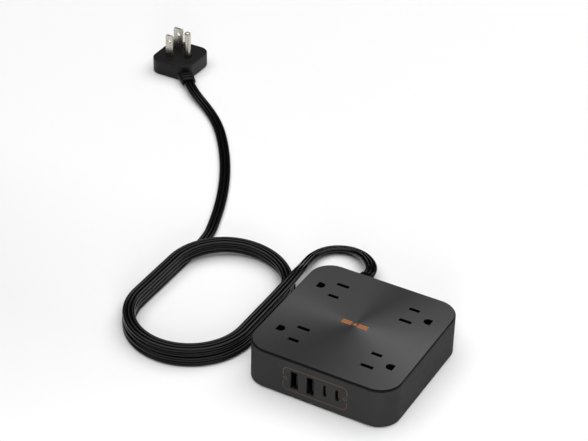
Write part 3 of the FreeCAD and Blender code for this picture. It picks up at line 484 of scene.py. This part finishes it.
def stub_end():
    """The middle of the end face of the plug's stub."""
    vertices = [v.co for v in NODES["plug_strain_relief"].data.vertices]
    reach = max(v.dot(PLUG_CORD_HEADING) for v in vertices)
    face = [v for v in vertices if v.dot(PLUG_CORD_HEADING) > reach - SAME_FACE]
    middle = sum(face, Vector()) / len(face)
    middle.z = PLUG_CORD_Z
    return middle


def cord_route():
    """The control points of the whole cord, from the strain relief through the coil to the plug."""
    lead = [Vector(p) for p in BOX_LEAD]
    tail = [Vector(p) for p in WALL_LEAD]
    turns = [Vector(p) for p in coil_points()]
    stub = Vector((COIL_RIGHT_X, COIL_REAR_Y - end_shape(0)[0], TOP_LAYER_Z))
    low_stub = Vector((COIL_LEFT_X, stub.y, CORD_T / 2))
    return lead + [stub] + turns + [low_stub] + tail + plug_points()


def cord_rings(bm, line, outline):
    """The cord's outline at every point of its line, level across except in the free loop."""
    rings = []
    distance = 0.0
    for k, centre in enumerate(line):
        before, after = line[max(k - 1, 0)], line[min(k + 1, len(line) - 1)]
        distance += (centre - before).length
        along = (after - before).normalized()
        level = along.cross(Vector((0, 0, 1))).normalized()
        across = Matrix.Rotation(tilt_at(distance), 3, along) @ level
        up = across.cross(along)
        rings.append([bm.verts.new(centre + across * x + up * z) for x, z in outline])
    return rings


def make_cord():
    """The whole flat cord, with painted shade in the grooves between its cores, and the line that it
    follows.
    """
    line = line_of(cord_route())
    outline = ribbed_section()
    # The faces in the grooves between the cores, which take the painted shade
    shaded_groove = [abs(x) < CORE_SPACING and abs(z) < GROOVE_BELOW for x, z in middles(outline)]
    bm = bmesh.new()
    rings = cord_rings(bm, line, outline)
    for first, second in zip(rings, rings[1:]):
        for k in range(len(outline)):
            after = (k + 1) % len(outline)
            face = bm.faces.new((first[k], second[k], second[after], first[after]))
            face.material_index = int(shaded_groove[k])
    bm.faces.new(rings[0])
    bm.faces.new(rings[-1][::-1])
    for face in bm.faces:
        face.smooth = len(face.verts) == 4
    bmesh.ops.recalc_face_normals(bm, faces=bm.faces)
    piece = add_object("power_cord", bm, "cord")
    piece.data.materials.append(MATERIALS["groove"])
    declare(piece, "cord", "power_cord_lead", "power_cord_coil", "power_cord_tail")
    return piece, line


cord, cord_line = make_cord()

# ---------------------------------------------------------------- body, ports, plug

ROUNDED = {
    "port_panel": ("shell", "body", 0.00012),
    "port_trim": ("copper", "trim", 0.00006),
    "port_marks": ("copper", "trim", 0.00006),
    "cover_mark": ("ink", "mark", 0.00003),
    "rubber_feet": ("rubber", "foot_rubber", 0.00015),
    "cord_strain_relief": ("cord", "cord", 0.0002),
    "plug_body": ("plug", "plug_plastic", 0.0002),
    "plug_cap": ("plug", "plug_plastic", 0.00015),
    "plug_strain_relief": ("plug", "plug_plastic", 0.0002),
    "plug_line_blade": ("nickel", "prong", 0.00012),
    "plug_neutral_blade": ("nickel", "prong", 0.00012),
    "plug_ground_pin": ("nickel", "prong", 0.0001),
}
for node, (material, slot, edge) in ROUNDED.items():
    rounded(node, material, slot, edge)

# ---------------------------------------------------------------- nodes that stay as they are

KEPT = {
    "base_shell": "shell",
    "top_cover": "cover",
    "usb_a_shell_left": "steel",
    "usb_a_shell_right": "steel",
    "usb_c_shell_left": "steel",
    "usb_c_shell_right": "steel",
    "usb_a_tongue_left": "usb_a",
    "usb_a_tongue_right": "usb_a",
    "usb_c_tongue_left": "usb_c",
    "usb_c_tongue_right": "usb_c",
    "housing_screws": "steel",
    "neutral_bus_bar": "brass",
    "line_bus_bar": "brass",
    "ground_bus_bar": "brass",
    "surge_board": "board",
    "usb_board": "board",
    "transformer_core": "ferrite",
    "transformer_winding": "blue",
    "usb_capacitor": "can",
    "filter_capacitor": "blue",
    "wire_terminal": "blue",
    "usb_controller": "mouth",
    "usb_c_stand": "mouth",
    "thermal_fuse": "mouth",
    "usb_supply_wires": "rubber",
}
KEPT_GROUPS = {"outlet_block": "block", "varistor": "blue", "cord_core": "rubber", "bar_link": "rubber"}


def kept_material(node):
    """The material of a node that keeps its CAD shape, by its own name or by its group's."""
    if node in KEPT:
        return KEPT[node]
    return next(material for group, material in KEPT_GROUPS.items() if node.startswith(group))


for node, piece in NODES.items():
    if node in ROUNDED or node.startswith("power_cord"):
        continue
    piece.data.materials.clear()
    piece.data.materials.append(MATERIALS[kept_material(node)])

# ---------------------------------------------------------------- floor and light

FLOOR_HALF = 7.0
FLOOR_Z = -0.0001
# Painted shade: the floor's grey in front of the object and behind it, and the span in Y between them
FLOOR_FRONT_SHADE_GREY = 0.865
FLOOR_REAR_GREY = 0.97
FLOOR_FADE_Y = (-0.05, 0.1)

# Surround: its strength in front of and behind the object, and the span that it changes over
SURROUND_STRENGTH = (0.10, 0.16)
SURROUND_FADE = (-0.6, 0.8)

# Lights: place, target, size, power in watts, and whether it shows in glossy surfaces
LIGHTS = {
    "overhead": ((0.1, 0.25, 2.5), (0.1, 0.25, 0), (4.8, 4.8), 123.0, True),
    "rear": ((0.35, 1.5, 1.25), (-0.1, 0.0, 0), (1.1, 0.5), 4.0, True),
    "front_fill": ((0.18, -0.42, 0.14), (0.02, -0.04, 0.01), (0.2, 0.2), 1.45, False),
}


def make_floor():
    """A pale floor, a little darker in front of the object: painted shade."""
    bm = bmesh.new()
    corners = [(-1, -1), (1, -1), (1, 1), (-1, 1)]
    bm.faces.new([bm.verts.new((x * FLOOR_HALF, y * FLOOR_HALF, FLOOR_Z)) for x, y in corners])
    mesh = bpy.data.meshes.new("floor")
    bm.to_mesh(mesh)
    bm.free()
    made = Material("floor_white", Roughness=0.9, Specular_IOR_Level=0.1)
    split = made.node("SeparateXYZ")
    made.tree.links.new(made.place(), split.inputs[0])
    behind = made.spread(split.outputs["Y"], 0.0, 1.0, *FLOOR_FADE_Y)
    made.link(made.mixed(behind, grey(FLOOR_FRONT_SHADE_GREY), grey(FLOOR_REAR_GREY)), "Base Color")
    mesh.materials.append(made.material)
    floor = bpy.data.objects.new("floor", mesh)
    bpy.context.scene.collection.objects.link(floor)


def add_light(name, place, target, size, power, mirrored):
    """A rectangular soft light that faces its target."""
    data = bpy.data.lights.new(name, "AREA")
    data.shape = "RECTANGLE"
    data.size, data.size_y = size
    data.energy = power
    light = bpy.data.objects.new(name, data)
    light.location = place
    light.visible_glossy = mirrored
    light.rotation_mode = "QUATERNION"
    light.rotation_quaternion = (Vector(target) - Vector(place)).to_track_quat("-Z", "Y")
    bpy.context.scene.collection.objects.link(light)


def make_surround():
    """A dim grey surround, a little brighter behind the object than in front of it."""
    world = bpy.data.worlds.new("surround")
    world.use_nodes = True
    nodes, links = world.node_tree.nodes, world.node_tree.links
    place = nodes.new("ShaderNodeTexCoord")
    split = nodes.new("ShaderNodeSeparateXYZ")
    links.new(place.outputs["Generated"], split.inputs[0])
    level = nodes.new("ShaderNodeMapRange")
    level.interpolation_type = "SMOOTHSTEP"
    level.inputs["From Min"].default_value, level.inputs["From Max"].default_value = SURROUND_FADE
    level.inputs["To Min"].default_value, level.inputs["To Max"].default_value = SURROUND_STRENGTH
    links.new(split.outputs["Y"], level.inputs["Value"])
    links.new(level.outputs["Result"], nodes["Background"].inputs["Strength"])
    bpy.context.scene.world = world


def make_light():
    """Soft studio light: a broad panel overhead, small lights behind and in front, and a dim surround."""
    make_surround()
    for name, light in LIGHTS.items():
        add_light(name, *light)
    bpy.context.scene.view_settings.view_transform = "Standard"


make_floor()
make_light()
